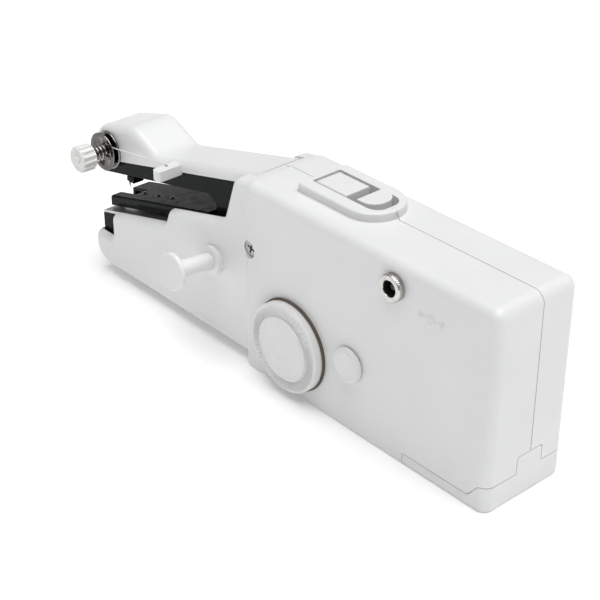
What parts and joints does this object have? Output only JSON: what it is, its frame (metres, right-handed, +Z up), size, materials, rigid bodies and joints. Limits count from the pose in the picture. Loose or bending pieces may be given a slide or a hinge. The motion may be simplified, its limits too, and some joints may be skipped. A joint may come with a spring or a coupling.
{
  "type": "handheld sewing machine",
  "caption": "Small white battery-powered handheld sewing machine with a sloping open throat, thread tension disc, spool pin and side hand wheel.",
  "frame": {"origin": "centre of the flat bottom of the grip, on the surface the machine stands on", "axes": "+X from the needle end to the battery end, -Y the hand wheel's side, +Z up"},
  "size_m": [0.2092, 0.0542, 0.0748],
  "materials": {
    "white_shell": "satin",
    "white_trim": "satin",
    "knob_white": "translucent moulded",
    "black_chassis": "gloss",
    "black_steel": "gloss black",
    "steel": "ground",
    "polished_steel": "polished",
    "nickel_plate": "plated",
    "nylon": "moulded",
    "bronze": "sintered",
    "black_plastic": "moulded",
    "cell_case": "printed sleeve",
    "thread": "spun"
  },
  "bodies": {
    "casing": {"side_shell_near": "white_shell", "side_shell_far": "white_shell", "arm_cover": "white_shell", "throat_chassis": "black_chassis", "needle_plate": "steel", "needle_plate_screws": "steel", "main_shaft_bush": "bronze", "motor_can": "nickel_plate", "motor_end_cap": "black_plastic", "motor_cradle": "black_plastic", "reduction_axle": "steel", "rocker_pivot": "steel", "bell_crank_pivot": "steel", "needle_guide_rod": "steel", "looper_bearings": "bronze", "presser_hinge_pin": "steel", "tension_post": "polished_steel", "tension_disc_inner": "polished_steel", "tension_disc_outer": "polished_steel", "tension_spring": "polished_steel", "spool_bush": "white_trim", "thread_guide": "white_shell", "sewing_thread": "thread", "switch_shelf": "black_plastic", "micro_switch": "black_plastic", "button_spring": "polished_steel", "dc_jack": "black_plastic", "dc_jack_nut": "polished_steel", "battery_cells": "cell_case", "battery_partition": "black_plastic", "battery_contacts_upper": "nickel_plate", "case_screws": "steel"},
    "hand_wheel": {"hand_wheel": "white_trim", "main_shaft": "steel", "main_gear": "nylon", "crank_disc": "steel"},
    "winder": {"winder_gear": "nylon", "winder_shaft": "steel", "winder_cap": "white_trim"},
    "reduction": {"reduction_gear": "nylon"},
    "motor_rotor": {"motor_pinion": "bronze", "motor_shaft": "steel"},
    "rocker": {"rocker_lever": "steel"},
    "push_rod": {"push_rod": "steel"},
    "bell_crank": {"bell_crank": "steel"},
    "needle_bar": {"needle_carrier": "steel", "needle": "polished_steel", "needle_clamp_screw": "steel"},
    "looper": {"looper": "steel", "looper_shaft": "steel"},
    "feed": {"feed_dog": "steel"},
    "presser": {"presser_plate": "black_steel", "presser_rivets": "steel"},
    "tension_knob": {"tension_knob": "knob_white"},
    "spool_pin": {"spool_pin": "white_trim"},
    "power_button": {"power_button": "white_trim"},
    "lock_slider": {"lock_slider": "white_trim"},
    "battery_cover": {"battery_cover": "white_shell", "battery_contacts_lower": "nickel_plate", "battery_springs": "polished_steel"}
  },
  "joints": [
    {"name": "wheel_spin", "type": "hinge", "parent": "casing", "child": "hand_wheel", "pos_m": [-0.0315, 0, 0.0196], "axis": [0, 1, 0], "continuous": true},
    {"name": "winder_spin", "type": "hinge", "parent": "casing", "child": "winder", "pos_m": [-0.00356, 0, 0.02559], "axis": [0, 1, 0], "continuous": true},
    {"name": "reduction_spin", "type": "hinge", "parent": "casing", "child": "reduction", "pos_m": [0, 0, 0.0423], "axis": [0, 1, 0], "continuous": true},
    {"name": "motor_spin", "type": "hinge", "parent": "casing", "child": "motor_rotor", "pos_m": [0.01149, 0, 0.04603], "axis": [0, 1, 0], "continuous": true},
    {"name": "rocker_swing", "type": "hinge", "parent": "casing", "child": "rocker", "pos_m": [-0.045, 0, 0.044], "axis": [0, 1, 0], "range_deg": [-13.2, 0]},
    {"name": "push_rod_slide", "type": "slide", "parent": "casing", "child": "push_rod", "axis": [0.9715, 0, 0.237], "range_m": [-0.00534, 0]},
    {"name": "bell_crank_rock", "type": "hinge", "parent": "casing", "child": "bell_crank", "pos_m": [-0.128, 0, 0.0476], "axis": [0, 1, 0], "range_deg": [-49.4, 0]},
    {"name": "needle_stroke", "type": "slide", "parent": "casing", "child": "needle_bar", "axis": [0, 0, 1], "range_m": [-0.0121, 0]},
    {"name": "looper_swing", "type": "hinge", "parent": "casing", "child": "looper", "pos_m": [-0.138, 0.005, 0.011], "axis": [1, 0, 0], "range_deg": [0, 15.1]},
    {"name": "feed_stroke", "type": "slide", "parent": "casing", "child": "feed", "axis": [0.9659, 0, 0.2589], "range_m": [0, 0.00232]},
    {"name": "presser_lift", "type": "hinge", "parent": "casing", "child": "presser", "pos_m": [-0.086, 0, 0.04135], "axis": [0, 1, 0], "range_deg": [0, 6.5], "stiffness_Nm_per_rad": 0.05, "springref_deg": -17.19},
    {"name": "tension_turn", "type": "hinge", "parent": "casing", "child": "tension_knob", "pos_m": [-0.143, -0.022, 0.0493], "axis": [0, -1, 0], "range_deg": [-180, 180]},
    {"name": "spool_pin_pull", "type": "slide", "parent": "casing", "child": "spool_pin", "axis": [0, -0.9945, 0.1045], "range_m": [0, 0.02]},
    {"name": "button_press", "type": "slide", "parent": "casing", "child": "power_button", "axis": [0, 0, -1], "range_m": [0, 0.0012], "stiffness_N_per_m": 400, "springref_m": -0.0006, "deforming": ["button_spring"]},
    {"name": "lock_slide", "type": "slide", "parent": "casing", "child": "lock_slider", "axis": [-1, 0, 0], "range_m": [0, 0.003]},
    {"name": "battery_cover_slide", "type": "slide", "parent": "casing", "child": "battery_cover", "axis": [1, 0, 0], "range_m": [0, 0.036]}
  ],
  "couplings": [
    {"joint": "winder_spin", "follows": "wheel_spin", "ratio": -1.1111},
    {"joint": "reduction_spin", "follows": "wheel_spin", "ratio": 4.2857},
    {"joint": "motor_spin", "follows": "wheel_spin", "ratio": -17.143},
    {"joint": "push_rod_slide", "follows": "rocker_swing", "m_per_rad": 0.023049},
    {"joint": "bell_crank_rock", "follows": "rocker_swing", "ratio": 3.7273},
    {"joint": "needle_stroke", "follows": "rocker_swing", "m_per_rad": 0.052039},
    {"joint": "looper_swing", "follows": "rocker_swing", "ratio": -1.1364},
    {"joint": "feed_stroke", "follows": "rocker_swing", "m_per_rad": -0.0099834}
  ]
}
